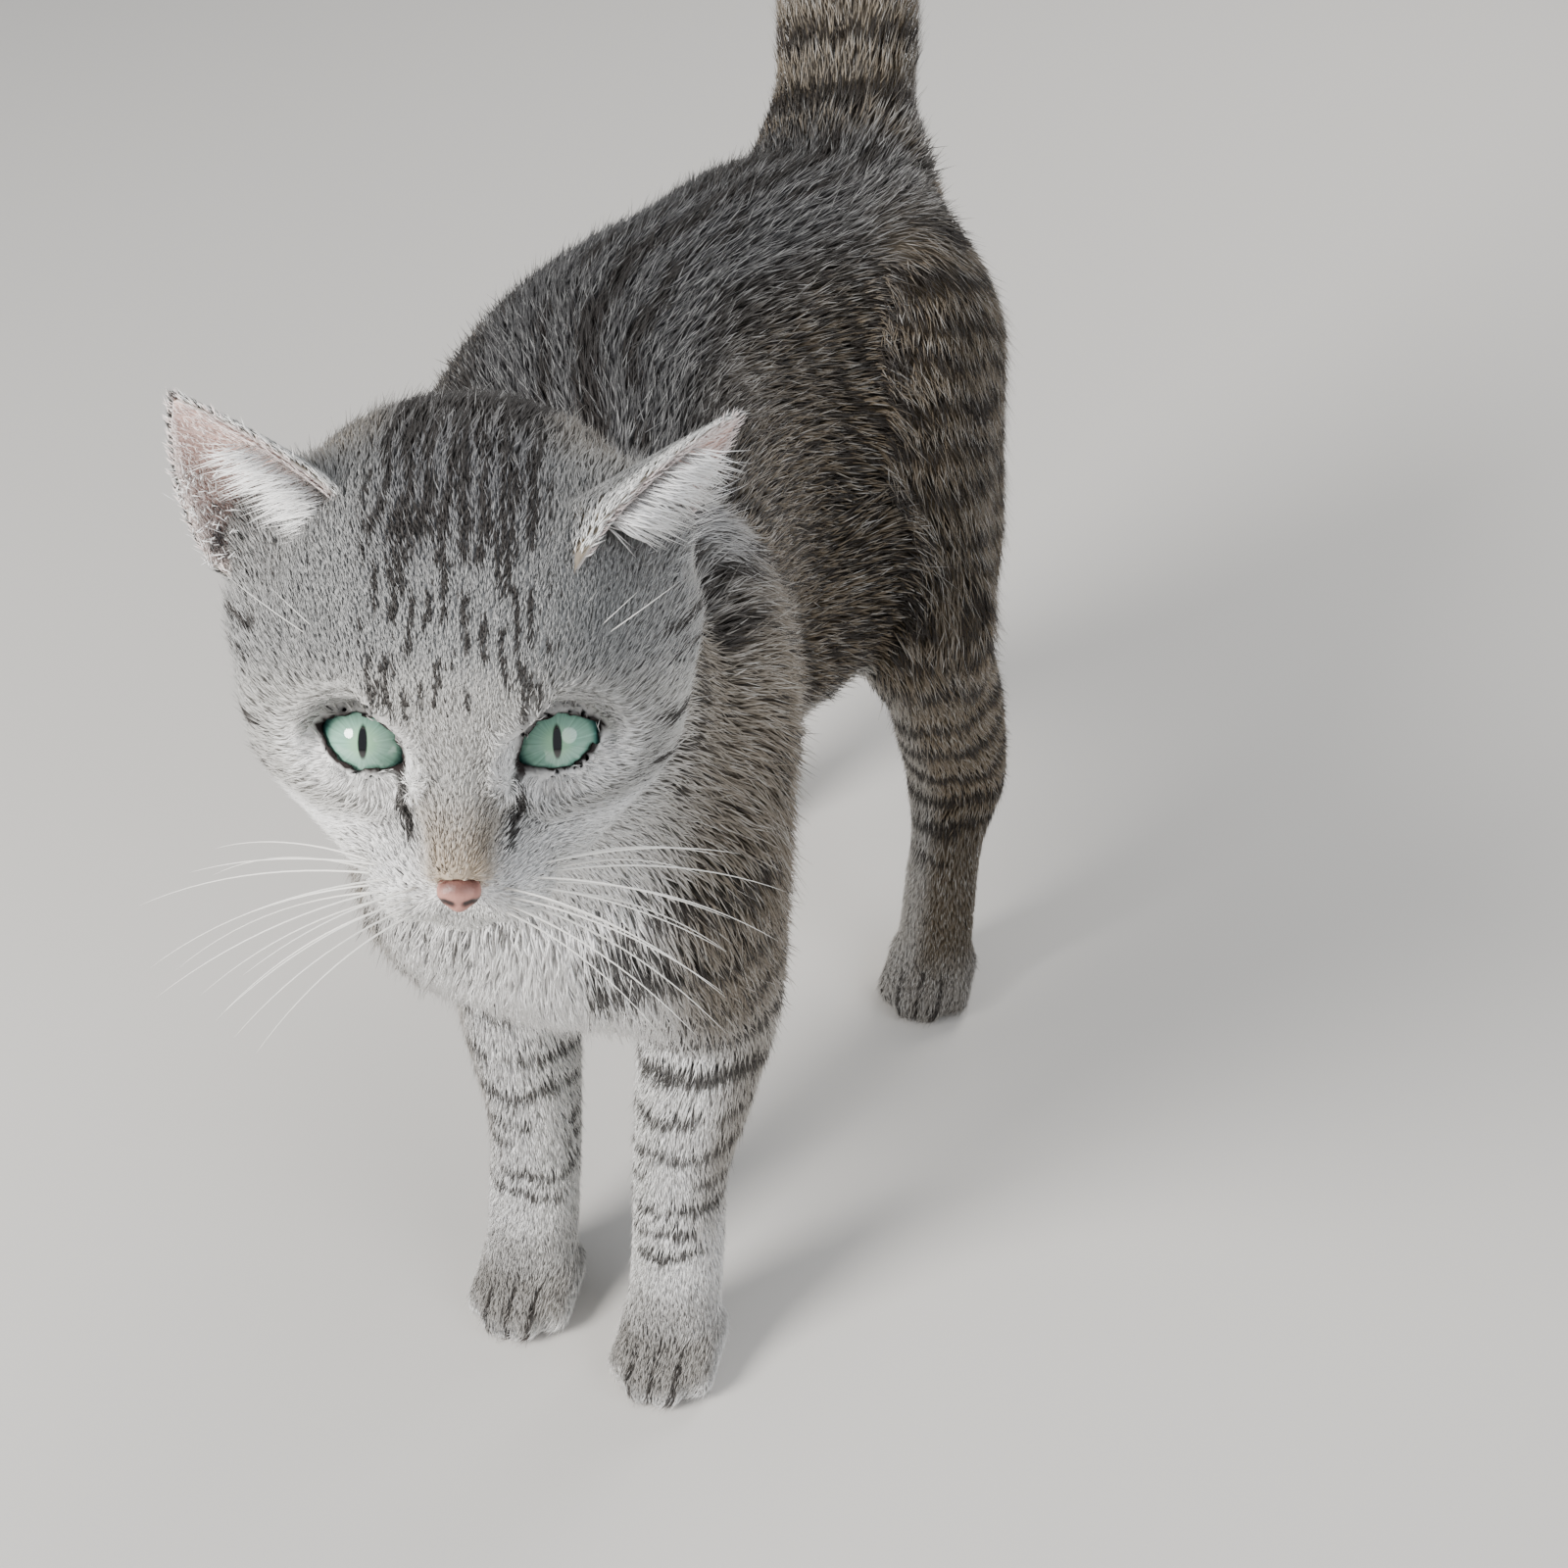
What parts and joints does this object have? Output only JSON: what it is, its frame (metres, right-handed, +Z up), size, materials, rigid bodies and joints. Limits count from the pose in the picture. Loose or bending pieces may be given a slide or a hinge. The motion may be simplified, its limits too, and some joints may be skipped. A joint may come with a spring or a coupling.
{
  "type": "standing domestic cat",
  "caption": "Life-size standing short-haired tabby cat with a raised tail and turned ears, as a still museum figure parted into its body regions.",
  "frame": {"origin": "on the floor under the middle of the model's box", "axes": "+Z up, -Y the way the body faces, +X the cat's left"},
  "size_m": [0.1784, 0.4968, 0.5532],
  "materials": {
    "coat": "short dense striped fur",
    "eye": "wet gloss",
    "nose_leather": "fine pebbled skin",
    "whisker": "smooth stiff hair"
  },
  "bodies": {
    "root": {"head": "coat", "neck": "coat", "trunk": "coat", "tail": "coat", "ear_left": "coat", "ear_right": "coat", "foreleg_left": "coat", "foreleg_right": "coat", "hindleg_left": "coat", "hindleg_right": "coat", "forepaw_left": "coat", "forepaw_right": "coat", "hindpaw_left": "coat", "hindpaw_right": "coat", "eye_left": "eye", "eye_right": "eye", "nose": "nose_leather"}
  },
  "joints": []
}
